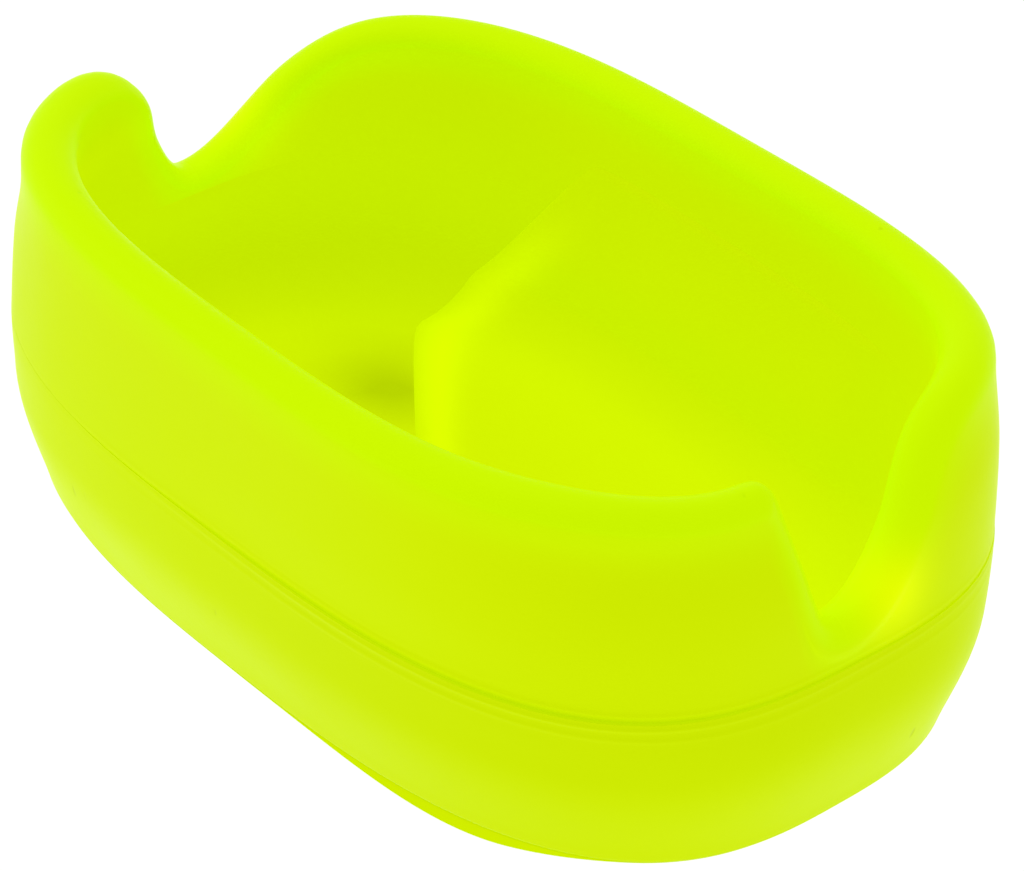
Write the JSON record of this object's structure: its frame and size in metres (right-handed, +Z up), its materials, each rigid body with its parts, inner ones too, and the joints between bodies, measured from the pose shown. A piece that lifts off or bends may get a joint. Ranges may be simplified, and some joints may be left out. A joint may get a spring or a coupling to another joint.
{
  "type": "lip grip",
  "caption": "Soft oval pinch cup with two flexible cheeks and a notch at each end, squeezed over a fish's lower lip to hold it.",
  "frame": {"origin": "centre of the flat that the cup rests on, below the middle of its bounding box", "axes": "+X along the cup to its front end, +Y to the right cheek, +Z up out of the open cup"},
  "size_m": [0.046, 0.031, 0.0212],
  "materials": {
    "elastomer": "semi-gloss, translucent fluorescent chartreuse silicone",
    "pad_elastomer": "satin, translucent fluorescent chartreuse silicone"
  },
  "bodies": {
    "cup": {"sole": "elastomer", "hull": "elastomer", "lip_pad": "pad_elastomer"},
    "left_side": {"left_cheek": "elastomer", "left_pad": "pad_elastomer"},
    "right_side": {"right_cheek": "elastomer", "right_pad": "pad_elastomer"}
  },
  "joints": [
    {"name": "left_flex", "type": "hinge", "parent": "cup", "child": "left_side", "pos_m": [0, -0.01445, 0.0131], "axis": [1, 0, 0], "range_deg": [-5, 12], "stiffness_Nm_per_rad": 0.02},
    {"name": "right_flex", "type": "hinge", "parent": "cup", "child": "right_side", "pos_m": [0, 0.01445, 0.0131], "axis": [-1, 0, 0], "range_deg": [-5, 12], "stiffness_Nm_per_rad": 0.02}
  ]
}
